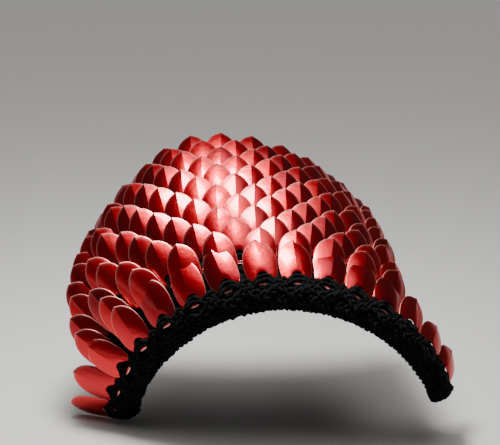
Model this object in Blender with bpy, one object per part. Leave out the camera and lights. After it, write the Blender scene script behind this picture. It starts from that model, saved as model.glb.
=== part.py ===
"""Knitted scale-mail pauldron for a right shoulder, in metres.

+X is the wearer's front, +Y runs in to the neck and +Z is up.  The origin is the underside of
the knit at the middle of the crown, where the pauldron sits on the top of the shoulder.

The pauldron is a black knitted panel.  Courses of leaf-shaped metal scales lie on it like roof
tiles turned upside down: each scale is held by yarn through a hole at its lower end, its free tip
points up to the neck, and each course covers the feet of the course above.  A thick crocheted
border closes the arm edge, and runs out past the panel at both ends with a single course.
"""

from math import asin, cos, pi, radians, sin

import bmesh
import bpy
from mathutils import Vector

# One scale: a domed metal leaf with a hole for the yarn near its lower rim.
SCALE_WIDTH = 0.0222
SCALE_LENGTH = 0.0365
SCALE_THICKNESS = 0.0009
SCALE_DOME = 0.0024
HOLE_SETBACK = 0.0060
SCALE_FOOT_WIDTH = 0.0090
SCALE_ROLL = radians(3.0)

# The lattice: courses up the shoulder, scales along each course.
ROW_PITCH = 0.0107
BORDER_COLUMNS = 15
PANEL_ROWS = 11
PANEL_COLUMNS_BACK = 5
PANEL_COLUMNS_FRONT = 4
EDGE_SPREAD = 0.35  # how far, in columns, the end scales of an unshifted course hang further out

# The knit: the panel under the scales, and the yarn course that holds each row.
KNIT_THICKNESS = 0.0030
NECK_MARGIN = 0.0200
SIDE_MARGIN = 0.45
COURSE_WIDTH = 0.0050
COURSE_HEIGHT = 0.0027
SEAT_GAP = 0.0003
KNIT_FACES_ACROSS = 20
KNIT_FACES_UP = 12

# The crocheted arm border.
BORDER_WIDTH = 0.0200
BORDER_THICKNESS = 0.0075
BORDER_KNOB = 0.0030
BORDER_LEDGE = 0.0040
BORDER_CURL = radians(34.0)
BORDER_END = 0.45
BORDER_STATIONS_PER_COLUMN = 4

# The border's cross-section below the scales, from the lip at the scales round to the free edge:
# places as shares of the border's width, heights as shares of its thickness and of a knob.
BORDER_SECTION = (
    # below, height, knob
    (0.1800, 0.40, 1.0),
    (0.3200, 0.50, 1.0),
    (0.5500, 0.60, 0.0),
    (0.9000, 0.42, 0.0),
    (1.0000, 0.10, 0.0),
    (0.9200, -0.24, 0.0),
    (0.4500, -0.40, 0.0),
)

# The shoulder that the panel lies on: reach, drop and wrap of the arm edge, front and back.
FRONT_REACH = 0.1150
BACK_REACH = 0.1165
FRONT_DROP = 0.0815
BACK_DROP = 0.1020
FRONT_WRAP = 0.0320
BACK_WRAP = 0.0410

# The slope of the crown line at the arm border, half way up and at the last course.
ARM_SLOPE = radians(25.0)
MIDDLE_SLOPE = radians(28.0)
NECK_SLOPE = radians(16.0)
CROWN_STEPS = 8

# How round each half arch is: the part of a turn that its outline sweeps.
FRONT_REACH_SWEEP = radians(69.0)
FRONT_DROP_SWEEP = radians(56.0)
BACK_REACH_SWEEP = radians(82.0)
BACK_DROP_SWEEP = radians(117.0)

# Three arches across the shoulder, each as shares of the sizes above.  The apex is where the arch
# is highest: its place along X is a share of the front reach, its column is counted in scales.
ARCH_COLUMNS = (
    "apex_x", "apex_column", "front_reach", "front_drop", "front_wrap",
    "back_reach", "back_drop", "back_wrap",
)
ARCHES = (
    (0.160, 0.4, 1.00, 1.00, 0.60, 1.00, 1.00, 1.00),     # at the arm border
    (-0.085, -0.5, 1.05, 0.76, 0.95, 0.98, 0.89, 0.30),   # half way up
    (-0.200, -1.1, 1.03, 0.95, 1.22, 0.77, 0.855, 0.51),  # at the last course of scales
)

# A scale's outline: places along it, with its width and dome there, as shares of its sizes.
LEAF = (
    # along, width, dome
    (0.36, 0.91, 0.80),
    (0.58, 1.00, 1.00),
    (0.83, 0.66, 0.55),
)

# Edges that turn by more than this stay sharp.
KNIT_CREASE = radians(50.0)
BORDER_CREASE = radians(60.0)
SCALE_CREASE = radians(25.0)

BORDER_REACH = (BORDER_COLUMNS - 1) / 2
PANEL_DEPTH = PANEL_ROWS * ROW_PITCH
HOLE_LEVEL = SEAT_GAP + 0.5 * COURSE_HEIGHT
COURSE_CLEARANCE = SCALE_DOME + SCALE_THICKNESS + 0.5 * SEAT_GAP

MATERIALS = {
    "black_yarn": ((0.006, 0.008, 0.008, 1.0), 0.9, 0.0),
    "red_scale": ((0.55, 0.02, 0.03, 1.0), 0.32, 1.0),
}


def clear_scene():
    for item in list(bpy.data.objects):
        bpy.data.objects.remove(item, do_unlink=True)


def material(name):
    """Returns the Principled material of that name."""
    found = bpy.data.materials.get(name)
    if found:
        return found
    colour, roughness, metallic = MATERIALS[name]
    made = bpy.data.materials.new(name)
    made.use_nodes = True
    shader = made.node_tree.nodes["Principled BSDF"]
    shader.inputs["Base Color"].default_value = colour
    shader.inputs["Roughness"].default_value = roughness
    shader.inputs["Metallic"].default_value = metallic
    return made


def on_parabola(low, middle, high, share):
    """The value at a share of the panel's depth, given those at its start, middle and end."""
    return (
        low * 2 * (share - 0.5) * (share - 1)
        - middle * 4 * share * (share - 1)
        + high * 2 * share * (share - 0.5)
    )


def arch_value(name, share):
    """Reads one column of the arch table at a share of the panel's depth."""
    index = ARCH_COLUMNS.index(name)
    return on_parabola(*(row[index] for row in ARCHES), share)


def crown_point(depth):
    """Y and Z of the crown line, walked up from the arm border in equal steps."""
    step = depth / CROWN_STEPS
    y = z = 0.0
    for i in range(CROWN_STEPS):
        share = (i + 0.5) * step / PANEL_DEPTH
        slope = on_parabola(ARM_SLOPE, MIDDLE_SLOPE, NECK_SLOPE, share)
        y += step * cos(slope)
        z += step * sin(slope)
    return y, z


def shoulder(column, depth):
    """The point of the knit's outer face at a column of the lattice and a depth from the border."""
    share = depth / PANEL_DEPTH
    from_apex = column - arch_value("apex_column", share)
    side = 1 if from_apex > 0 else -1
    part = abs(from_apex) / BORDER_REACH
    if side > 0:
        half, reach, drop, wrap = "front", FRONT_REACH, FRONT_DROP, FRONT_WRAP
        reach_sweep, drop_sweep = FRONT_REACH_SWEEP, FRONT_DROP_SWEEP
    else:
        half, reach, drop, wrap = "back", BACK_REACH, BACK_DROP, BACK_WRAP
        reach_sweep, drop_sweep = BACK_REACH_SWEEP, BACK_DROP_SWEEP
    reach *= arch_value(half + "_reach", share)
    drop *= arch_value(half + "_drop", share)
    wrap *= arch_value(half + "_wrap", share)
    crown_y, crown_z = crown_point(depth)
    return Vector((
        FRONT_REACH * arch_value("apex_x", share)
        + side * reach * sin(reach_sweep * part) / sin(reach_sweep),
        crown_y + wrap * part ** 2,
        crown_z - drop * (1 - cos(drop_sweep * part)) / (1 - cos(drop_sweep)),
    ))


def frame_at(column, depth):
    """Point, direction along the course, direction up the panel and outward normal."""
    step_column, step_depth = 0.05, 0.0005
    point = shoulder(column, depth)
    along = shoulder(column + step_column, depth) - shoulder(column - step_column, depth)
    rise = shoulder(column, depth + step_depth) - shoulder(column, depth - step_depth)
    along.normalize()
    normal = along.cross(rise).normalized()
    return point, along, normal.cross(along), normal


def column_pitch(column, depth):
    """The length of one column step along a course."""
    return (shoulder(column + 0.5, depth) - shoulder(column - 0.5, depth)).length


def scale_lift(column, depth):
    """How far a scale leans out: its course clears the one above, also where the knit bends up."""
    _, _, _, normal = frame_at(column, depth)
    _, _, up_above, _ = frame_at(column, depth + ROW_PITCH)
    bend = max(0.0, up_above.dot(normal))
    overlap = SCALE_LENGTH - HOLE_SETBACK - ROW_PITCH
    return asin((COURSE_CLEARANCE + bend * overlap) / ROW_PITCH)


SEAT_COLUMN = arch_value("apex_column", 0.5)
SEAT_POINT, _, _, SEAT_NORMAL = frame_at(SEAT_COLUMN, 0.5 * PANEL_DEPTH)
ORIGIN = SEAT_POINT - SEAT_NORMAL * KNIT_THICKNESS


def finish(name, mesh, material_name, crease):
    """Turns a bmesh into a named object with its origin at the shoulder seat."""
    bmesh.ops.translate(mesh, verts=mesh.verts, vec=-ORIGIN)
    bmesh.ops.triangulate(mesh, faces=mesh.faces)
    data = bpy.data.meshes.new(name)
    mesh.to_mesh(data)
    mesh.free()
    data.shade_smooth()
    data.set_sharp_from_angle(angle=crease)
    data.materials.append(material(material_name))
    made = bpy.data.objects.new(name, data)
    bpy.context.scene.collection.objects.link(made)
    return made


def bridge(mesh, ring_a, ring_b):
    """Joins two rings of as many vertices with quads."""
    count = len(ring_a)
    for i in range(count):
        j = (i + 1) % count
        mesh.faces.new((ring_a[i], ring_a[j], ring_b[j], ring_b[i]))


def knit_panel():
    """The knitted panel: a wall of even thickness over the shoulder, open below."""
    back = -(PANEL_COLUMNS_BACK + 0.5 + SIDE_MARGIN)
    front = PANEL_COLUMNS_FRONT + 0.5 + SIDE_MARGIN
    low = BORDER_LEDGE + SEAT_GAP
    high = PANEL_DEPTH + NECK_MARGIN
    mesh = bmesh.new()
    sheets = {}
    for level in (0.0, -KNIT_THICKNESS):
        sheets[level] = []
        for j in range(KNIT_FACES_UP + 1):
            depth = low + (high - low) * j / KNIT_FACES_UP
            line = []
            for i in range(KNIT_FACES_ACROSS + 1):
                column = back + (front - back) * i / KNIT_FACES_ACROSS
                point, _, _, normal = frame_at(column, depth)
                line.append(mesh.verts.new(point + normal * level))
            sheets[level].append(line)
    outer, inner = sheets[0.0], sheets[-KNIT_THICKNESS]
    for j in range(KNIT_FACES_UP):
        for i in range(KNIT_FACES_ACROSS):
            mesh.faces.new((outer[j][i], outer[j][i + 1], outer[j + 1][i + 1], outer[j + 1][i]))
            mesh.faces.new((inner[j][i], inner[j + 1][i], inner[j + 1][i + 1], inner[j][i + 1]))
    rim_outer = (
        outer[0][:-1] + [line[-1] for line in outer[:-1]]
        + outer[-1][:0:-1] + [line[0] for line in outer[:0:-1]]
    )
    rim_inner = (
        inner[0][:-1] + [line[-1] for line in inner[:-1]]
        + inner[-1][:0:-1] + [line[0] for line in inner[:0:-1]]
    )
    bridge(mesh, rim_inner, rim_outer)
    return finish("knit_ground", mesh, "black_yarn", KNIT_CREASE)


def arm_border():
    """The crocheted border: a thick band that curls in to the arm, with a knob at each scale."""
    reach = BORDER_REACH + BORDER_END
    count = int(2 * reach * BORDER_STATIONS_PER_COLUMN)
    lip = COURSE_WIDTH / 2 + SEAT_GAP
    mesh = bmesh.new()
    rings = []
    for i in range(count + 1):
        column = -reach + 2 * reach * i / count
        point, _, up, normal = frame_at(column, 0.0)
        knob = BORDER_KNOB * cos(pi * column) ** 2
        section = [(-BORDER_LEDGE, 0.0), (lip, 0.0)]
        for below, height, share in BORDER_SECTION:
            section.append((below * BORDER_WIDTH, height * BORDER_THICKNESS + share * knob))
        section.append((-BORDER_LEDGE, -KNIT_THICKNESS))
        ring = []
        for below, level in section:
            turn = BORDER_CURL * max(below, 0.0) / BORDER_WIDTH
            centre = point - up * below * cos(turn) - normal * below * sin(turn)
            outward = normal * cos(2 * turn) - up * sin(2 * turn)
            ring.append(mesh.verts.new(centre + outward * level))
        rings.append(ring)
    for ring_a, ring_b in zip(rings[:-1], rings[1:]):
        bridge(mesh, ring_a, ring_b)
    mesh.faces.new(list(reversed(rings[0])))
    mesh.faces.new(rings[-1])
    return finish("arm_border", mesh, "black_yarn", BORDER_CREASE)


def leaf_rings(mesh, column, depth, foot):
    """Grows one scale from the six vertices of its foot, ring by ring, to its tip."""
    point, along, up, normal = frame_at(column, depth)
    lift = scale_lift(column, depth)
    axis = up * cos(lift) + normal * sin(lift)
    face = normal * cos(lift) - up * sin(lift)
    side = along * cos(SCALE_ROLL) - face * sin(SCALE_ROLL)
    face = face * cos(SCALE_ROLL) + along * sin(SCALE_ROLL)
    hole = point + normal * HOLE_LEVEL
    ring = foot
    for share, width, dome in LEAF:
        centre = hole + axis * (share * SCALE_LENGTH - HOLE_SETBACK)
        half = side * width * SCALE_WIDTH / 2
        crown = face * (dome * SCALE_DOME)
        wall = face * SCALE_THICKNESS
        next_ring = [
            mesh.verts.new(place)
            for place in (
                centre - half, centre + crown, centre + half,
                centre + half + wall, centre + crown + wall, centre - half + wall,
            )
        ]
        bridge(mesh, ring, next_ring)
        ring = next_ring
    end = hole + axis * (SCALE_LENGTH - HOLE_SETBACK)
    under = mesh.verts.new(end)
    over = mesh.verts.new(end + face * SCALE_THICKNESS)
    mesh.faces.new((ring[0], ring[1], under))
    mesh.faces.new((ring[1], ring[2], under))
    mesh.faces.new((ring[2], ring[3], over, under))
    mesh.faces.new((ring[3], ring[4], over))
    mesh.faces.new((ring[4], ring[5], over))
    mesh.faces.new((ring[5], ring[0], under, over))


def scale_row(name, columns, depth):
    """One course: a strip of yarn on the knit, with its scales fused to it by their feet."""
    mesh = bmesh.new()
    half_foot = SCALE_FOOT_WIDTH / 2
    places = [columns[0] - SIDE_MARGIN]
    for column in columns:
        step = half_foot / column_pitch(column, depth)
        places += [column - step, column, column + step, column + 0.5]
    places[-1] = columns[-1] + SIDE_MARGIN
    rings = []
    for place in places:
        point, _, up, normal = frame_at(place, depth)
        low, high = normal * SEAT_GAP, normal * (SEAT_GAP + COURSE_HEIGHT)
        edge = up * COURSE_WIDTH / 2
        rings.append([
            mesh.verts.new(corner)
            for corner in (point - edge + low, point + edge + low, point + edge + high, point - edge + high)
        ])
    for i, (ring_a, ring_b) in enumerate(zip(rings[:-1], rings[1:])):
        carries_scale = i % 4 in (1, 2)
        for j in range(4):
            if carries_scale and j == 1:
                continue
            following = (j + 1) % 4
            mesh.faces.new((ring_a[j], ring_b[j], ring_b[following], ring_a[following]))
    mesh.faces.new(rings[0])
    mesh.faces.new(list(reversed(rings[-1])))
    for index, column in enumerate(columns):
        left, middle, right = rings[4 * index + 1: 4 * index + 4]
        foot = [left[1], middle[1], right[1], right[2], middle[2], left[2]]
        leaf_rings(mesh, column, depth, foot)
    bmesh.ops.recalc_face_normals(mesh, faces=mesh.faces)
    return finish(name, mesh, "red_scale", SCALE_CREASE)


def row_columns(row):
    """The columns of a panel course: every second one is shifted by half a scale, to end wider."""
    if row % 2:
        count = PANEL_COLUMNS_BACK + PANEL_COLUMNS_FRONT + 2
        return [i - PANEL_COLUMNS_BACK - 0.5 for i in range(count)]
    middle = (PANEL_COLUMNS_FRONT - PANEL_COLUMNS_BACK) / 2
    reach = (PANEL_COLUMNS_FRONT + PANEL_COLUMNS_BACK) / 2
    columns = range(-PANEL_COLUMNS_BACK, PANEL_COLUMNS_FRONT + 1)
    return [column + EDGE_SPREAD * ((column - middle) / reach) ** 3 for column in columns]


def build():
    clear_scene()
    knit_panel()
    arm_border()
    border = [i - BORDER_REACH for i in range(BORDER_COLUMNS)]
    scale_row("scale_row_01", border, 0.0)
    for row in range(1, PANEL_ROWS + 1):
        scale_row(f"scale_row_{row + 1:02d}", row_columns(row + 1), row * ROW_PITCH)


build()
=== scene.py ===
"""A knitted scale-mail pauldron for a right shoulder: red anodised scales on black yarn."""

import random
from math import cos, pi, radians, sin, sqrt

import bmesh
import bpy
from mathutils import Matrix, Vector, noise


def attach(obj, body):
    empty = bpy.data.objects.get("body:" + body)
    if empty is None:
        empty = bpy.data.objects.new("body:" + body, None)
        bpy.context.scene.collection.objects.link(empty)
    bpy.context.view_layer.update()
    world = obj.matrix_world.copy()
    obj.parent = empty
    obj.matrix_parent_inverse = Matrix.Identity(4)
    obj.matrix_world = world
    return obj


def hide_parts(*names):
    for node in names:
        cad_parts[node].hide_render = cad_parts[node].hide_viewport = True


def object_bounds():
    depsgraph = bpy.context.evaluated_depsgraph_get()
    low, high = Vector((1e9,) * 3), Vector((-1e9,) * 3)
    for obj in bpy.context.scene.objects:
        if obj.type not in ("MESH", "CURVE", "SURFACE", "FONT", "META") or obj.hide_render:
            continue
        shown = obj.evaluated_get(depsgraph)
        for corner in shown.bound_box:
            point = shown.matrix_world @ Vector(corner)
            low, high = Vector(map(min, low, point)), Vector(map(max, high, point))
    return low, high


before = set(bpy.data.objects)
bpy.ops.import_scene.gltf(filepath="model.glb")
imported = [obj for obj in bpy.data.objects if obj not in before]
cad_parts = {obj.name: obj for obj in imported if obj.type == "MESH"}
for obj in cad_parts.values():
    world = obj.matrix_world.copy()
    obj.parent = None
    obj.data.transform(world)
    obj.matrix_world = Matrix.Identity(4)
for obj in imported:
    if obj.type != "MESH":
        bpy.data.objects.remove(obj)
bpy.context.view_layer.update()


# The knitted ground.
# One panel of black worsted yarn in stocking stitch, knitted flat as a rectangle and draped over
# the top of the shoulder.  The V of each stitch stands up on both of its faces.

# Courses of scales go up the panel and columns of scales along it; EDGE_SPREAD and SIDE_MARGIN
# count columns.
ROW_PITCH = 0.0107
BORDER_COLUMNS = 15
PANEL_ROWS = 11
PANEL_COLUMNS_BACK = 5
PANEL_COLUMNS_FRONT = 4
EDGE_SPREAD = 0.35
SIDE_MARGIN = 0.45
NECK_MARGIN = 0.0200
KNIT_THICKNESS = 0.0030
BORDER_LEDGE = 0.0040
SEAT_GAP = 0.0003
BORDER_REACH = (BORDER_COLUMNS - 1) / 2
PANEL_DEPTH = PANEL_ROWS * ROW_PITCH

# The shape the knit is draped to: how far its arm edge reaches out, drops and wraps in, front and
# back, how steeply the crown rises from that edge, and how much of a turn each half arch makes.
FRONT_REACH = 0.1150
BACK_REACH = 0.1165
FRONT_DROP = 0.0815
BACK_DROP = 0.1020
FRONT_WRAP = 0.0320
BACK_WRAP = 0.0410
CROWN_SLOPES = radians(25.0), radians(28.0), radians(16.0)
CROWN_STEPS = 8
FRONT_REACH_SWEEP = radians(69.0)
FRONT_DROP_SWEEP = radians(56.0)
BACK_REACH_SWEEP = radians(82.0)
BACK_DROP_SWEEP = radians(117.0)
ARCHES = {
    # each at the arm border, half way up and at the last course, as shares of the sizes above
    "apex_x": (0.160, -0.085, -0.200),
    "apex_column": (0.4, -0.5, -1.1),
    "front_reach": (1.00, 1.05, 1.03),
    "front_drop": (1.00, 0.76, 0.95),
    "front_wrap": (0.60, 0.95, 1.22),
    "back_reach": (1.00, 0.98, 0.77),
    "back_drop": (1.00, 0.89, 0.855),
    "back_wrap": (1.00, 0.30, 0.51),
}
COLUMN_NUDGE = 0.05
DEPTH_NUDGE = 0.0005


def on_parabola(values, share):
    """The value at a share of the panel's depth, given those at its start, middle and end."""
    low, middle, high = values
    return (
        low * 2 * (share - 0.5) * (share - 1)
        - middle * 4 * share * (share - 1)
        + high * 2 * share * (share - 0.5)
    )


def shoulder(column, depth):
    """The point of the knit's outer face at a column of the lattice and a depth from the border."""
    share = depth / PANEL_DEPTH
    from_apex = column - on_parabola(ARCHES["apex_column"], share)
    part = abs(from_apex) / BORDER_REACH
    if from_apex > 0:
        side, half, reach, drop, wrap = 1, "front", FRONT_REACH, FRONT_DROP, FRONT_WRAP
        reach_sweep, drop_sweep = FRONT_REACH_SWEEP, FRONT_DROP_SWEEP
    else:
        side, half, reach, drop, wrap = -1, "back", BACK_REACH, BACK_DROP, BACK_WRAP
        reach_sweep, drop_sweep = BACK_REACH_SWEEP, BACK_DROP_SWEEP
    reach *= on_parabola(ARCHES[half + "_reach"], share)
    drop *= on_parabola(ARCHES[half + "_drop"], share)
    wrap *= on_parabola(ARCHES[half + "_wrap"], share)
    step = depth / CROWN_STEPS
    slopes = [
        on_parabola(CROWN_SLOPES, (i + 0.5) * step / PANEL_DEPTH) for i in range(CROWN_STEPS)
    ]
    return Vector((
        FRONT_REACH * on_parabola(ARCHES["apex_x"], share)
        + side * reach * sin(reach_sweep * part) / sin(reach_sweep),
        step * sum(cos(slope) for slope in slopes) + wrap * part ** 2,
        step * sum(sin(slope) for slope in slopes)
        - drop * (1 - cos(drop_sweep * part)) / (1 - cos(drop_sweep)),
    ))


def skin_at(column, depth):
    """Point, direction along the course, direction up the panel and outward normal."""
    point = shoulder(column, depth)
    along = shoulder(column + COLUMN_NUDGE, depth) - shoulder(column - COLUMN_NUDGE, depth)
    rise = shoulder(column, depth + DEPTH_NUDGE) - shoulder(column, depth - DEPTH_NUDGE)
    along.normalize()
    normal = along.cross(rise).normalized()
    return point, along, normal.cross(along), normal


# The frame's origin is the underside of the knit at the middle of the crown.
seat, _, _, seat_normal = skin_at(on_parabola(ARCHES["apex_column"], 0.5), 0.5 * PANEL_DEPTH)
ORIGIN = seat - seat_normal * KNIT_THICKNESS


def on_knit(column, depth, level):
    """A place over the knit's outer face, seen from the frame's origin."""
    point, _, _, normal = skin_at(column, depth)
    return point + normal * level - ORIGIN


def srgb(colour):
    """A hex colour as linear RGBA."""
    parts = [int(colour[i:i + 2], 16) / 255 for i in (1, 3, 5)]
    return [c / 12.92 if c <= 0.04045 else ((c + 0.055) / 1.055) ** 2.4 for c in parts] + [1.0]


def add_node(tree, kind, settings=None, values=None, links=None):
    """Adds a node: settings are its properties, values its sockets, links socket <- output."""
    node = tree.nodes.new(kind)
    for name, value in (settings or {}).items():
        setattr(node, name, value)
    for name, value in (values or {}).items():
        node.inputs[name].default_value = value
    for name, output in (links or {}).items():
        tree.links.new(output, node.inputs[name])
    return node


def new_material(name):
    """An empty node material, its tree and its shader."""
    made = bpy.data.materials.new(name)
    made.use_nodes = True
    return made, made.node_tree, made.node_tree.nodes["Principled BSDF"]


# Black acrylic worsted, three-ply, spun: near black, matt, with a faint cool halo of loose fibre.
# A ply's fibres are 0.02 mm thick; they are drawn as 0.35 mm streaks so that they show.  Handling
# greys the yarn a little in patches of about 12 mm.
YARN_BLACK = "#030404"
YARN_DUSTY = "#0D0F0F"
YARN_HALO = "#2C3836"
FIBRE_STREAK = 0.00035
FUZZ_DEPTH = 0.0004
DUSTY_PATCH = 0.012
BLACK_UP_TO, DUSTY_FROM = 0.15, 0.55
worsted, tree, shader = new_material("black_worsted_yarn")
place = add_node(tree, "ShaderNodeTexCoord").outputs["Object"]
fibre = add_node(
    tree, "ShaderNodeTexNoise", values={"Scale": 1 / FIBRE_STREAK, "Detail": 2.0, "Roughness": 0.7},
    links={"Vector": place},
).outputs["Fac"]
worn = add_node(
    tree, "ShaderNodeTexNoise", values={"Scale": 1 / DUSTY_PATCH, "Detail": 3.0},
    links={"Vector": place},
).outputs["Fac"]
both = add_node(
    tree, "ShaderNodeMath", {"operation": "MULTIPLY"}, links={0: fibre, 1: worn},
).outputs["Value"]
tone = add_node(tree, "ShaderNodeValToRGB", links={"Fac": both})
black, dusty = tone.color_ramp.elements
black.position, black.color = BLACK_UP_TO, srgb(YARN_BLACK)
dusty.position, dusty.color = DUSTY_FROM, srgb(YARN_DUSTY)
fuzz = add_node(
    tree, "ShaderNodeBump", values={"Strength": 0.7, "Distance": FUZZ_DEPTH},
    links={"Height": fibre},
).outputs["Normal"]
tree.links.new(tone.outputs["Color"], shader.inputs["Base Color"])
tree.links.new(fuzz, shader.inputs["Normal"])
shader.inputs["Roughness"].default_value = 0.88
shader.inputs["IOR"].default_value = 1.5
shader.inputs["Specular IOR Level"].default_value = 0.12
shader.inputs["Sheen Weight"].default_value = 0.02
shader.inputs["Sheen Roughness"].default_value = 0.5
shader.inputs["Sheen Tint"].default_value = srgb(YARN_HALO)


def add_piece(name, mesh, material):
    """Makes a bmesh or mesh into a smooth-shaded piece of the pauldron, riding on its body."""
    data = mesh
    if isinstance(mesh, bmesh.types.BMesh):
        data = bpy.data.meshes.new(name)
        mesh.to_mesh(data)
        mesh.free()
    data.name = name
    data.shade_smooth()
    data.materials.clear()
    data.materials.append(material)
    piece = bpy.data.objects.new(name, data)
    bpy.context.scene.collection.objects.link(piece)
    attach(piece, "root")
    return piece


KNIT_BACK = -(PANEL_COLUMNS_BACK + 0.5 + SIDE_MARGIN)
KNIT_FRONT = PANEL_COLUMNS_FRONT + 0.5 + SIDE_MARGIN
KNIT_LOW = BORDER_LEDGE + SEAT_GAP
KNIT_HIGH = PANEL_DEPTH + NECK_MARGIN
STITCHES_PER_COLUMN = 4
STITCH_ROWS_PER_COURSE = 4
STITCH_RELIEF = 0.0014
VERTS_PER_STITCH = 7
VERTS_PER_STITCH_ROW = 3
# The two legs of a stitch, as shares of its width: their place at the foot of the V, how far they
# part up to its top, and half the width of the yarn.
LEG_AT_FOOT = 0.13
LEG_SPREAD = 0.24
LEG_HALF_WIDTH = 0.17


def stitch_height(column, depth):
    """How far a stocking stitch stands up: two yarn legs lean together into each V."""
    wale = (column * STITCHES_PER_COLUMN) % 1.0
    course = (depth / ROW_PITCH * STITCH_ROWS_PER_COURSE) % 1.0
    from_leg = abs(wale - 0.5) - (LEG_AT_FOOT + LEG_SPREAD * course)
    away = min(abs(from_leg), abs(from_leg + LEG_SPREAD), abs(from_leg - LEG_SPREAD))
    return sqrt(max(0.0, 1 - (away / LEG_HALF_WIDTH) ** 2))


knit = bmesh.new()
stitches = round((KNIT_FRONT - KNIT_BACK) * STITCHES_PER_COLUMN)
stitch_rows = round((KNIT_HIGH - KNIT_LOW) / ROW_PITCH * STITCH_ROWS_PER_COURSE)
for inside in (False, True):
    sheet = bmesh.ops.create_grid(
        knit, x_segments=stitches * VERTS_PER_STITCH, y_segments=stitch_rows * VERTS_PER_STITCH_ROW,
        size=0.5,
    )["verts"]
    for vert in sheet:
        column = KNIT_BACK + (KNIT_FRONT - KNIT_BACK) * (vert.co.x + 0.5)
        depth = KNIT_LOW + (KNIT_HIGH - KNIT_LOW) * (vert.co.y + 0.5)
        relief = STITCH_RELIEF * (stitch_height(column, depth) - 1)
        vert.co = on_knit(column, depth, -KNIT_THICKNESS - relief if inside else relief)
    if inside:
        turned = list({face for vert in sheet for face in vert.link_faces})
        bmesh.ops.reverse_faces(knit, faces=turned)
rims = [edge for edge in knit.edges if edge.is_boundary]
bmesh.ops.bridge_loops(knit, edges=rims)
bmesh.ops.recalc_face_normals(knit, faces=knit.faces)
knit_ground = add_piece("knitted_ground", knit, worsted)
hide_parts("knit_ground")


# The selvedges.
# The knit's two side edges and its bound-off neck edge: a chain of yarn that rolls over the rim.

PLY_PITCH = 0.0090
PLIES = 3
PLY_GROOVE = 0.72
SLACK_SIZE = 0.005
# The slack in the yarn follows Blender's noise, which starts from the clock unless it has a seed.
SLACK_SEED = 7
noise.seed_set(SLACK_SEED)


def lay_yarn(name, strands, radius, slack=0.0):
    """Plied yarn along lists of points: a three-lobed section that turns, as uneven as hand work."""
    section = bpy.data.curves.new("ply_section", "CURVE")
    section.dimensions = "2D"
    ring = section.splines.new("POLY")
    ring.points.add(2 * PLIES - 1)
    for i, point in enumerate(ring.points):
        reach = radius * (1.0 if i % 2 == 0 else PLY_GROOVE)
        point.co = (reach * cos(pi * i / PLIES), reach * sin(pi * i / PLIES), 0, 1)
    ring.use_cyclic_u = True
    section_object = bpy.data.objects.new("ply_section", section)
    bpy.context.scene.collection.objects.link(section_object)
    lines = bpy.data.curves.new(name, "CURVE")
    lines.dimensions = "3D"
    lines.bevel_mode = "OBJECT"
    lines.bevel_object = section_object
    lines.use_fill_caps = True
    for strand in strands:
        line = lines.splines.new("POLY")
        line.points.add(len(strand) - 1)
        travelled = 0.0
        for i, place in enumerate(strand):
            if i:
                travelled += (place - strand[i - 1]).length
            pull = noise.noise_vector(place / SLACK_SIZE) * slack
            line.points[i].co = (*(place + pull), 1)
            line.points[i].radius = 1 + pull.x / radius
            line.points[i].tilt = 2 * pi * travelled / PLY_PITCH
    lines_object = bpy.data.objects.new(name, lines)
    bpy.context.scene.collection.objects.link(lines_object)
    bpy.context.view_layer.update()
    solid = bpy.data.meshes.new_from_object(
        lines_object.evaluated_get(bpy.context.evaluated_depsgraph_get())
    )
    for spare in (lines_object, section_object):
        bpy.data.objects.remove(spare)
    for spare in (lines, section):
        bpy.data.curves.remove(spare)
    return add_piece(name, solid, worsted)


def plait(path_at, start, end, pitch, width, height, steps_per_pitch):
    """Three strands that cross over each other; path_at(s, sideways, out) gives the place."""
    count = max(2, round((end - start) / pitch * steps_per_pitch))
    strands = []
    for strand in range(3):
        line = []
        for i in range(count + 1):
            s = start + (end - start) * i / count
            turn = 2 * pi * (s / pitch + strand / 3)
            line.append(path_at(s, width * sin(turn), height * sin(2 * turn)))
        strands.append(line)
    return strands


# The side edges' pitch is in metres up the panel, the neck edge's in columns along it.
SELVEDGE_RADIUS = 0.0011
SELVEDGE_WIDTH = 0.0013
SELVEDGE_HEIGHT = 0.0013
SIDE_EDGE_PITCH = 0.0090
NECK_EDGE_PITCH = 0.4
SELVEDGE_STEPS = 10
COLUMN_WIDTH = 0.022
selvedge = []
for edge in (KNIT_BACK, KNIT_FRONT):
    selvedge += plait(
        lambda s, sideways, out: on_knit(
            edge + sideways / COLUMN_WIDTH, s, out - KNIT_THICKNESS / 2
        ),
        KNIT_LOW, KNIT_HIGH, SIDE_EDGE_PITCH, SELVEDGE_WIDTH, SELVEDGE_HEIGHT, SELVEDGE_STEPS,
    )
selvedge += plait(
    lambda s, sideways, out: on_knit(s, KNIT_HIGH + sideways, out - KNIT_THICKNESS / 2),
    KNIT_BACK, KNIT_FRONT, NECK_EDGE_PITCH, SELVEDGE_WIDTH, SELVEDGE_HEIGHT, SELVEDGE_STEPS,
)
knit_selvedge = lay_yarn("knit_selvedge", selvedge, SELVEDGE_RADIUS)


# The scales.
# Leaves punched from aluminium sheet, pressed to a dome with a ridge down the middle, tumbled
# and anodised red.  Each hangs on its yarn by a hole near its round end and points up the panel.

SCALE_WIDTH = 0.0230
SCALE_LENGTH = 0.0365
SCALE_THICKNESS = 0.0008
SCALE_DOME = 0.0031
HOLE_SETBACK = 0.0060
HOLE_RADIUS = 0.0039
RIM_ROUND = 0.00022
SHARP_RIM = radians(60)
# The press: how high the dome stands at the foot, how it is stretched towards the tip, and how
# much of the roof is a straight crease rather than a round back, at the foot and added at the tip.
DOME_AT_FOOT = 0.12
DOME_STRETCH = 1.05
DOME_SKEW = 0.9
CREASE_AT_FOOT = 0.05
CREASE_ADDED = 0.80
NARROWEST_HALF = 0.002
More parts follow.
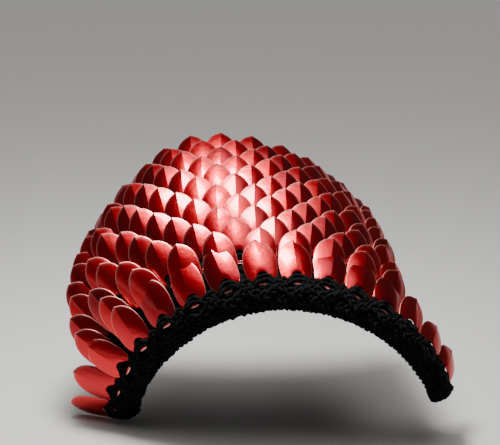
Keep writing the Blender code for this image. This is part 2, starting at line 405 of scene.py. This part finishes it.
# Where the scale is painted pale, partly dye worn thin and partly a painted highlight of edges
# catching the light: fully on the rim, on the foot more than 4.5 mm below the hole's centre as a
# painted glint, and a little on the lip.
LIP_WEAR_AND_GLINT = 0.12
LIP_FROM = 0.9
FOOT_WEAR_AND_GLINT_BELOW = -0.0045
FOOT_FROM = 0.5
# Rings of points from the hole out to the rim, as shares of the way.
SIDE_POINTS = 14
RINGS = (0.18, 0.42, 0.66, 0.86, 0.955, 1.0)
LEAF = (
    # along, half width: shares of the scale's length and half width
    (0.00, 0.00), (0.01, 0.30), (0.04, 0.55), (0.09, 0.74), (0.16, 0.87), (0.28, 0.96),
    (0.42, 1.00), (0.57, 0.99), (0.70, 0.92), (0.81, 0.77), (0.90, 0.56), (0.96, 0.32), (1.00, 0.00),
)


def leaf_half_width(share):
    """Half the scale's width at a share of its length."""
    for (a, wide_a), (b, wide_b) in zip(LEAF[:-1], LEAF[1:]):
        if share <= b:
            return 0.5 * SCALE_WIDTH * (wide_a + (wide_b - wide_a) * (share - a) / (b - a))
    return 0.0


def leaf_height(x, y):
    """The pressed dome: highest along the ridge, falling in a soft roof to both rims."""
    share = min(max((y + HOLE_SETBACK) / SCALE_LENGTH, 0.0), 1.0)
    rise = sin(pi * min(1.0, share / DOME_STRETCH) ** DOME_SKEW)
    along = DOME_AT_FOOT + (1 - DOME_AT_FOOT) * rise
    across = min(1.0, abs(x) / max(leaf_half_width(share), NARROWEST_HALF))
    crease = CREASE_AT_FOOT + CREASE_ADDED * share ** 2
    return SCALE_DOME * along * (1 - crease * across - (1 - crease) * across ** 2)


leaf = bmesh.new()
rim_layer = leaf.verts.layers.float.new("rim")
rim = bmesh.ops.create_circle(leaf, segments=2 * SIDE_POINTS, radius=HOLE_RADIUS)["verts"]
outline = []
for i in range(2 * SIDE_POINTS):
    part = i / SIDE_POINTS if i <= SIDE_POINTS else 2 - i / SIDE_POINTS
    share = (1 - cos(pi * part)) / 2
    side = 1 if i <= SIDE_POINTS else -1
    outline.append(Vector((side * leaf_half_width(share), share * SCALE_LENGTH - HOLE_SETBACK, 0)))
hole = []
for i, vert in enumerate(rim):
    turn = pi * i / SIDE_POINTS
    hole.append(Vector((HOLE_RADIUS * sin(turn), -HOLE_RADIUS * cos(turn), 0)))
    vert.co = hole[i]
ring = list(rim)
ring_edges = list(leaf.edges)
for share in RINGS:
    grown = bmesh.ops.extrude_edge_only(leaf, edges=ring_edges)["geom"]
    ring_edges = [item for item in grown if isinstance(item, bmesh.types.BMEdge)]
    new_ring = [item for item in grown if isinstance(item, bmesh.types.BMVert)]
    ordered = []
    for vert in ring:
        ordered.append(next(
            edge.other_vert(vert) for edge in vert.link_edges if edge.other_vert(vert) in new_ring
        ))
    for i, vert in enumerate(ordered):
        vert.co = hole[i].lerp(outline[i], share)
        # Pale rim, lip and foot: partly worn dye, partly painted highlight, and a painted glint on
        # the foot.
        pale_edge = share == 1.0 or (share > FOOT_FROM and outline[i].y < FOOT_WEAR_AND_GLINT_BELOW)
        vert[rim_layer] = 1.0 if pale_edge else LIP_WEAR_AND_GLINT if share > LIP_FROM else 0.0
    ring_edges = [edge for edge in ring_edges if edge.is_boundary and edge.verts[0] in ordered]
    ring = ordered
for vert in leaf.verts:
    vert.co.z = leaf_height(vert.co.x, vert.co.y)
bmesh.ops.recalc_face_normals(leaf, faces=leaf.faces)
if sum(face.normal.z for face in leaf.faces) < 0:
    bmesh.ops.reverse_faces(leaf, faces=leaf.faces)
top_faces = list(leaf.faces)
bmesh.ops.solidify(leaf, geom=top_faces, thickness=SCALE_THICKNESS)
bmesh.ops.recalc_face_normals(leaf, faces=leaf.faces)
rim_edges = [edge for edge in leaf.edges if edge.calc_face_angle(0.0) > SHARP_RIM]
bmesh.ops.bevel(
    leaf, geom=rim_edges, offset=RIM_ROUND, affect="EDGES", segments=2, profile=0.5, material=-1,
)
floor_of_leaf = min(vert.co.z for vert in leaf.verts)
bmesh.ops.translate(leaf, verts=leaf.verts, vec=(0, 0, -floor_of_leaf))
# The leaf's own map, in centimetres, so that its grain turns with it.
LEAF_MAP = 100
leaf_uv = leaf.loops.layers.uv.new("leaf")
for face in leaf.faces:
    for loop in face.loops:
        loop[leaf_uv].uv = (loop.vert.co.x * LEAF_MAP, loop.vert.co.y * LEAF_MAP)
# The ridge stays a sharp line from the hole to the tip.
for edge in leaf.edges:
    on_ridge = all(abs(vert.co.x) < 1e-5 and vert.co.y > HOLE_RADIUS for vert in edge.verts)
    edge.smooth = not on_ridge
leaf_mesh = bpy.data.meshes.new("leaf")
leaf.to_mesh(leaf_mesh)
leaf.free()

# Anodised aluminium: a dyed, clear oxide skin over satin-tumbled metal.  The metal mirrors the light
# in deep red and the skin adds a white gleam.  The rims are painted pale: partly dye that tumbling
# has worn thin, partly a painted highlight of edges catching the light.  Tumbling leaves dents 4 mm
# across, and a grain along the leaf: the map in centimetres, its stretch and the grain's scale make
# that 0.3 mm wide and 2 mm long.
ANODISED_RED = "#D80A1E"
ANODISED_DEEP = "#A00418"
ANODISED_SHEEN = "#E87C78"
RIM_PALE = "#EAA39B"
RUMBLE_SIZE = 0.004
DENT_DEPTH = 0.0006
GRAIN_STRETCH = 8.0, 1.2, 1.0
GRAIN_SCALE = 4.0
SCRATCH_DEPTH = 0.0002
SATIN = 0.24, 0.34
RIM_ROUGHER = 0.25
anodised, tree, shader = new_material("red_anodised_aluminium")
place = add_node(tree, "ShaderNodeTexCoord").outputs["Object"]
leaf_place = add_node(tree, "ShaderNodeUVMap", {"uv_map": "leaf"}).outputs["UV"]
tone = add_node(tree, "ShaderNodeAttribute", {"attribute_name": "tone"}).outputs["Fac"]
# The rim attribute is the pale-rim mask: partly worn dye, partly painted highlight; it also roughens
# the rims.
worn_and_glinting_rim = add_node(tree, "ShaderNodeAttribute", {"attribute_name": "rim"}).outputs["Fac"]
streaks = add_node(
    tree, "ShaderNodeMapping", values={"Scale": GRAIN_STRETCH}, links={"Vector": leaf_place},
).outputs["Vector"]
grain = add_node(
    tree, "ShaderNodeTexNoise", values={"Scale": GRAIN_SCALE, "Detail": 3.0, "Roughness": 0.6},
    links={"Vector": streaks},
).outputs["Fac"]
rumble = add_node(
    tree, "ShaderNodeTexNoise", values={"Scale": 1 / RUMBLE_SIZE, "Detail": 2.0},
    links={"Vector": place},
).outputs["Fac"]
dye = add_node(
    tree, "ShaderNodeMix", {"data_type": "RGBA"},
    {6: srgb(ANODISED_DEEP), 7: srgb(ANODISED_RED)}, {0: tone},
).outputs[2]
# The pale rim colour is mixed in by the rim mask: partly worn dye, partly painted highlight.
skin = add_node(
    tree, "ShaderNodeMix", {"data_type": "RGBA"}, {7: srgb(RIM_PALE)}, {0: worn_and_glinting_rim, 6: dye},
).outputs[2]
satin = add_node(
    tree, "ShaderNodeMapRange", values={"To Min": SATIN[0], "To Max": SATIN[1]},
    links={"Value": grain},
).outputs["Result"]
worn_satin = add_node(
    tree, "ShaderNodeMath", {"operation": "MULTIPLY_ADD"}, {1: RIM_ROUGHER}, {0: worn_and_glinting_rim, 2: satin},
).outputs["Value"]
dent = add_node(
    tree, "ShaderNodeBump", values={"Strength": 0.30, "Distance": DENT_DEPTH},
    links={"Height": rumble},
).outputs["Normal"]
scratch = add_node(
    tree, "ShaderNodeBump", values={"Strength": 0.08, "Distance": SCRATCH_DEPTH},
    links={"Height": grain, "Normal": dent},
).outputs["Normal"]
tree.links.new(skin, shader.inputs["Base Color"])
tree.links.new(worn_satin, shader.inputs["Roughness"])
tree.links.new(scratch, shader.inputs["Normal"])
shader.inputs["Metallic"].default_value = 1.0
shader.inputs["Specular Tint"].default_value = srgb(ANODISED_SHEEN)
shader.inputs["Coat Weight"].default_value = 0.6
shader.inputs["Coat Roughness"].default_value = 0.12
shader.inputs["Coat IOR"].default_value = 1.5

# How the scales hang: each leans out over the course above it, towards the back they roll over
# more, and no two lie quite alike.  The border scales have nothing below them and hang as they will.
COURSE_HEIGHT = 0.0027
HOLE_LEVEL = SEAT_GAP + 0.5 * COURSE_HEIGHT
OVERLAP = SCALE_LENGTH - HOLE_SETBACK - ROW_PITCH
SCALE_LIFT = radians(15.5)
SCALE_ROLL = radians(3.0)
BACK_ROLL = radians(16.0)
SHUFFLE_TURN = radians(4.0)
SHUFFLE_LIFT = radians(1.2)
SHUFFLE_ROLL = radians(2.5)
BORDER_HANG = (
    # how each border scale hangs, from the back to the front: lift, lean and roll, in degrees
    (9, 18, 0), (12, 0, 16), (8, 9, 12), (11, -7, 10), (8, -5, 5), (8, 1, 3), (11, 11, 3), (13, 8, 3),
    (15, 8, 3), (13, -4, 3), (14, -6, 3), (13, -3, 2), (15, -5, 0), (14, -12, -4), (19, -11, -8),
)


def bend_at(column, depth):
    """How sharply the knit bends up over one course, where it does."""
    _, _, _, normal = skin_at(column, depth)
    _, _, up_above, _ = skin_at(column, depth + ROW_PITCH)
    return max(0.0, up_above.dot(normal))


def scale_place(column, depth, lift, lean, roll):
    """The frame of one scale: X across it, Y to its tip, Z out, with its hole at the origin."""
    point, along, up, normal = skin_at(column, depth)
    axis = up * cos(lift) + normal * sin(lift)
    face = normal * cos(lift) - up * sin(lift)
    side = along * cos(roll) - face * sin(roll)
    face = face * cos(roll) + along * sin(roll)
    turned_axis = axis * cos(lean) - side * sin(lean)
    turned_side = side * cos(lean) + axis * sin(lean)
    hole_centre = point + normal * HOLE_LEVEL - ORIGIN
    basis = Matrix((turned_side, turned_axis, face)).transposed().to_4x4()
    return Matrix.Translation(hole_centre) @ basis


def course_columns(row):
    """The columns of a course: every second one is shifted by half a scale, to end wider."""
    if row == 1:
        return [i - BORDER_REACH for i in range(BORDER_COLUMNS)]
    if row % 2:
        count = PANEL_COLUMNS_BACK + PANEL_COLUMNS_FRONT + 2
        return [i - PANEL_COLUMNS_BACK - 0.5 for i in range(count)]
    middle = (PANEL_COLUMNS_FRONT - PANEL_COLUMNS_BACK) / 2
    reach = (PANEL_COLUMNS_FRONT + PANEL_COLUMNS_BACK) / 2
    columns = range(-PANEL_COLUMNS_BACK, PANEL_COLUMNS_FRONT + 1)
    return [column + EDGE_SPREAD * ((column - middle) / reach) ** 3 for column in columns]


shuffle = random.Random(7)
scale_places = {}
for row in range(1, PANEL_ROWS + 2):
    places = []
    for index, column in enumerate(course_columns(row)):
        depth = (row - 1) * ROW_PITCH
        lift = SCALE_LIFT + shuffle.uniform(-1, 1) * SHUFFLE_LIFT
        lift += bend_at(column, depth) * OVERLAP / ROW_PITCH
        lean = shuffle.uniform(-1, 1) * SHUFFLE_TURN
        roll = SCALE_ROLL + BACK_ROLL * max(0.0, -column / BORDER_REACH) ** 2
        roll += shuffle.uniform(-1, 1) * SHUFFLE_ROLL
        if row == 1:
            lift, lean, roll = (radians(angle) for angle in BORDER_HANG[index])
        places.append(scale_place(column, depth, lift, lean, roll))
    scale_places[row] = places
    course = bmesh.new()
    tone_layer = course.verts.layers.float.new("tone")
    for matrix in places:
        start = len(course.verts)
        course.from_mesh(leaf_mesh)
        course.verts.ensure_lookup_table()
        fresh = course.verts[start:]
        bmesh.ops.transform(course, verts=fresh, matrix=matrix)
        shade = shuffle.random()
        for vert in fresh:
            vert[tone_layer] = shade
    scales = add_piece(f"scales_course_{row:02d}", course, anodised)
    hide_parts(f"scale_row_{row:02d}")
bpy.data.meshes.remove(leaf_mesh)


# The yarn courses.
# Each course of scales is held by a row of stitches: a plaited line of yarn on the knit, and a
# loop that comes up through each scale's hole and straddles its lower rim.

COURSE_PLAIT_WIDTH = 0.0011
COURSE_PLAIT_HEIGHT = 0.0006
COURSE_PLAIT_PITCH = 0.5
COURSE_STEPS = 8
COURSE_LEVEL = 0.0008
COURSE_RADIUS = 0.0009
LOOP_RADIUS = 0.0013
LOOP = (
    # across, along, above the knit side of the scale
    (-0.0052, -0.0088, -0.0004), (-0.0050, -0.0072, 0.0016), (-0.0040, -0.0045, 0.0024),
    (-0.0024, -0.0014, 0.0020), (-0.0012, 0.0008, 0.0012), (0.0, 0.0016, 0.0009),
)

course_lines = []
for row in range(2, PANEL_ROWS + 2):
    columns = course_columns(row)
    depth = (row - 1) * ROW_PITCH
    course_lines += plait(
        lambda s, sideways, out: on_knit(s, depth + sideways, out + COURSE_LEVEL),
        columns[0] - SIDE_MARGIN, columns[-1] + SIDE_MARGIN, COURSE_PLAIT_PITCH,
        COURSE_PLAIT_WIDTH, COURSE_PLAIT_HEIGHT, COURSE_STEPS,
    )
yarn_courses = lay_yarn("yarn_courses", course_lines, COURSE_RADIUS)


def smooth_line(points, pieces):
    """A smooth line through the points."""
    line = []
    padded = [points[0], *points, points[-1]]
    for a, b, c, d in zip(padded[:-3], padded[1:-2], padded[2:-1], padded[3:]):
        for i in range(pieces):
            t = i / pieces
            line.append(0.5 * (
                2 * b + (c - a) * t + (2 * a - 5 * b + 4 * c - d) * t ** 2
                + (3 * b - a - 3 * c + d) * t ** 3
            ))
    line.append(points[-1])
    return line


def stitch_through(matrix, half, pieces):
    """A stitch through one scale's hole: half of its path, and its mirror image."""
    left = [Vector(place) for place in half]
    right = [Vector((-place.x, place.y, place.z)) for place in reversed(left[:-1])]
    return [matrix @ place for place in smooth_line(left + right, pieces)]


loops = []
for row in range(2, PANEL_ROWS + 2):
    loops += [stitch_through(matrix, LOOP, 2) for matrix in scale_places[row]]
yarn_loops = lay_yarn("yarn_loops", loops, LOOP_RADIUS)


# The arm border.
# Eight rounds of crochet in the same yarn, worked on the arm edge round a firm core and the loops
# of the border scales: a thick, knobbly band that curls in under the arm edge of the knit.

BORDER_WIDTH = 0.0200
BORDER_KNOB = 0.0030
BORDER_CURL = radians(34.0)
BORDER_END = 0.45
CORE_SHARE = 0.985
CORE_STATIONS_PER_COLUMN = 4
CORE_SECTION = (
    # below the scales' holes, out from the knit's outer face
    (-0.0078, -0.0002), (0.0022, -0.0002), (0.0034, 0.0016), (0.0080, 0.0028), (0.0140, 0.0028),
    (0.0182, 0.0018), (0.0198, 0.0002), (0.0180, -0.0016), (0.0090, -0.0022), (-0.0078, -0.0026),
)


def on_border(column, below, level):
    """A place on the arm border's cross-section at a column."""
    point, _, up, normal = skin_at(column, 0.0)
    turn = BORDER_CURL * max(below, 0.0) / BORDER_WIDTH
    centre = point - up * below * cos(turn) - normal * below * sin(turn)
    outward = normal * cos(2 * turn) - up * sin(2 * turn)
    return centre + outward * level - ORIGIN


border_reach = BORDER_REACH + BORDER_END
core = bmesh.new()
stations = int(2 * border_reach * CORE_STATIONS_PER_COLUMN)
wrap_points = len(CORE_SECTION)
bmesh.ops.create_grid(core, x_segments=stations, y_segments=wrap_points, size=0.5)
for vert in core.verts:
    column = 2 * border_reach * CORE_SHARE * vert.co.x
    below, level = CORE_SECTION[round((vert.co.y + 0.5) * wrap_points) % wrap_points]
    vert.co = on_border(column, below, level)
bmesh.ops.remove_doubles(core, verts=core.verts, dist=1e-6)
bmesh.ops.holes_fill(core, edges=[edge for edge in core.edges if edge.is_boundary])
bmesh.ops.recalc_face_normals(core, faces=core.faces)
border_core = add_piece("border_core", core, worsted)

CROCHET_ROUNDS = (
    # below the holes at a scale, how much higher between scales, out, knob, strand, width, height
    (0.0086, 0.0058, 0.0032, -0.6, 0.0017, 0.0020, 0.0013),
    (0.0118, 0.0040, 0.0040, 0.3, 0.0016, 0.0021, 0.0010),
    (0.0155, 0.0015, 0.0030, 0.0, 0.0016, 0.0021, 0.0010),
    (0.0185, 0.0000, 0.0008, 0.0, 0.0016, 0.0014, 0.0010),
    (0.0150, 0.0000, -0.0020, 0.0, 0.0013, 0.0020, 0.0005),
    (0.0098, 0.0000, -0.0024, 0.0, 0.0013, 0.0020, 0.0005),
    (0.0046, 0.0000, -0.0024, 0.0, 0.0013, 0.0020, 0.0004),
    (-0.0018, 0.0000, -0.0022, 0.0, 0.0013, 0.0024, 0.0004),
)
CROCHET_PITCH = 0.62
CROCHET_STEPS = 12
CROCHET_SLACK = 0.0007
CROCHET_SHARE = 0.975
crochet_reach = border_reach * CROCHET_SHARE
for number, (below, rise, out_at, knob, radius, width, height) in enumerate(CROCHET_ROUNDS, 1):
    strands = plait(
        lambda s, sideways, out: on_border(
            s, below - rise * sin(pi * s) ** 2 + sideways,
            out_at + out + knob * BORDER_KNOB * cos(pi * s) ** 2,
        ),
        -crochet_reach, crochet_reach, CROCHET_PITCH, width, height, CROCHET_STEPS,
    )
    crochet = lay_yarn(f"crochet_round_{number}", strands, radius, CROCHET_SLACK)
    if number == 1:
        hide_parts("arm_border")

# At each border scale three stitches hold its foot: two over it, and one low in the hole.
STITCH_RADIUS = 0.0016
STITCHES = (
    (
        # across the scale, along it from the hole, out
        (-0.0090, -0.0082, -0.0006), (-0.0072, -0.0068, 0.0022), (-0.0050, -0.0046, 0.0034),
        (-0.0026, -0.0030, 0.0030), (0.0, -0.0026, 0.0024),
    ),
    (
        (-0.0086, -0.0058, -0.0008), (-0.0070, -0.0040, 0.0024), (-0.0046, -0.0016, 0.0034),
        (-0.0022, 0.0004, 0.0028), (0.0, 0.0010, 0.0018),
    ),
    (
        (-0.0070, -0.0060, -0.0024), (-0.0052, -0.0020, -0.0016), (-0.0032, 0.0010, -0.0002),
        (-0.0018, 0.0024, 0.0006), (0.0, 0.0027, 0.0010),
    ),
)
YARN_BENDS = 4
foot_stitches = [
    stitch_through(matrix, half, YARN_BENDS) for matrix in scale_places[1] for half in STITCHES
]
border_stitches = lay_yarn("border_stitches", foot_stitches, STITCH_RADIUS, CROCHET_SLACK)

# Both ends of the border are closed by turns of yarn round the whole band, a tenth of a column
# apart.  They stand off the core by END_FIT, and past END_KNOT the front end swells to a knot.
END_TURNS = 4
END_PITCH = 0.10
END_RADIUS = 0.0016
END_FIT = 1.35
END_SWELL = 1.35, 2.3
END_KNOT = 0.006
end_wraps = []
for end, swell in zip((-1, 1), END_SWELL):
    for turn in range(END_TURNS):
        column = end * (border_reach * CORE_SHARE - turn * END_PITCH)
        ring = [
            on_border(column, below, level * (swell if below > END_KNOT else END_FIT))
            for below, level in CORE_SECTION
        ]
        end_wraps.append(smooth_line(ring + ring[:2], YARN_BENDS))
border_ends = lay_yarn("border_ends", end_wraps, END_RADIUS, CROCHET_SLACK)


# The studio.
# A plain floor of pale matt paper just under the pauldron, a dim room with a bright patch of
# ceiling over it, and one small soft lamp straight above the crown.

# Matt paper: an even pale grey without a gleam, so that only the soft shadow shows on it.
FLOOR_PALE = "#BCBAB7"
FLOOR_SIZE = 7.0
FLOOR_GAP = 0.001
floor_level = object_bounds()[0].z - FLOOR_GAP
floor_mesh = bmesh.new()
bmesh.ops.create_grid(floor_mesh, x_segments=1, y_segments=1, size=FLOOR_SIZE)
bmesh.ops.translate(floor_mesh, verts=floor_mesh.verts, vec=(0, 0, floor_level))
floor_data = bpy.data.meshes.new("floor")
floor_mesh.to_mesh(floor_data)
floor_mesh.free()
matt, tree, shader = new_material("matt_paper")
shader.inputs["Base Color"].default_value = srgb(FLOOR_PALE)
shader.inputs["Roughness"].default_value = 0.9
floor_data.materials.append(matt)
floor = bpy.data.objects.new("floor", floor_data)
bpy.context.scene.collection.objects.link(floor)

# The room: a bright patch of ceiling, dark walls, and a pale band where they meet the floor.
ROOM = (
    # height of the direction (sine of its elevation), brightness
    (0.00, 0.40), (0.05, 0.22), (0.12, 0.03), (0.84, 0.03), (0.94, 1.00), (1.00, 1.00),
)
CEILING_LIGHT = 2.6
world = bpy.data.worlds.new("studio")
bpy.context.scene.world = world
world.use_nodes = True
tree = world.node_tree
direction = add_node(tree, "ShaderNodeTexCoord").outputs["Generated"]
height = add_node(tree, "ShaderNodeSeparateXYZ", links={"Vector": direction}).outputs["Z"]
room = add_node(tree, "ShaderNodeValToRGB", links={"Fac": height})
for place, brightness in ROOM[1:-1]:
    room.color_ramp.elements.new(place)
for element, (place, brightness) in zip(room.color_ramp.elements, ROOM):
    element.position = place
    element.color = (brightness, brightness, brightness, 1.0)
tree.links.new(room.outputs["Color"], tree.nodes["Background"].inputs["Color"])
tree.nodes["Background"].inputs["Strength"].default_value = CEILING_LIGHT

# The lamp: a soft box over the crown that faces its fullest part.
LAMP_TOWARDS = -0.06, -0.06, 0.98
LAMP_DISTANCE = 0.45
LAMP_SIZE = 0.18, 0.15
LAMP_POWER = 7.0
crown = shoulder(-1.5, 0.7 * PANEL_DEPTH) - ORIGIN
soft_box = bpy.data.lights.new("key", "AREA")
soft_box.shape = "RECTANGLE"
soft_box.size, soft_box.size_y = LAMP_SIZE
soft_box.energy = LAMP_POWER
lamp = bpy.data.objects.new("key", soft_box)
lamp.location = crown + Vector(LAMP_TOWARDS).normalized() * LAMP_DISTANCE
lamp.rotation_euler = (lamp.location - crown).to_track_quat("Z", "Y").to_euler()
bpy.context.scene.collection.objects.link(lamp)

# The camera: it looks along +Y from the arm side, a little down, at a point inside the arch.
VIEW_HEIGHT = radians(16.4)
VIEW_DISTANCE = 1.261
VIEW_CENTRE = Vector((0, 0.0388, 0.0282))
FOCAL_LENGTH = 132.7
SENSOR_WIDTH = 36.0
view = Vector((0, cos(VIEW_HEIGHT), -sin(VIEW_HEIGHT)))
camera_data = bpy.data.cameras.new("camera")
camera_data.lens = FOCAL_LENGTH
camera_data.sensor_width = SENSOR_WIDTH
camera = bpy.data.objects.new("camera", camera_data)
camera.location = VIEW_CENTRE - ORIGIN - view * VIEW_DISTANCE
camera.rotation_euler = view.to_track_quat("-Z", "Y").to_euler()
bpy.context.scene.collection.objects.link(camera)
bpy.context.scene.camera = camera
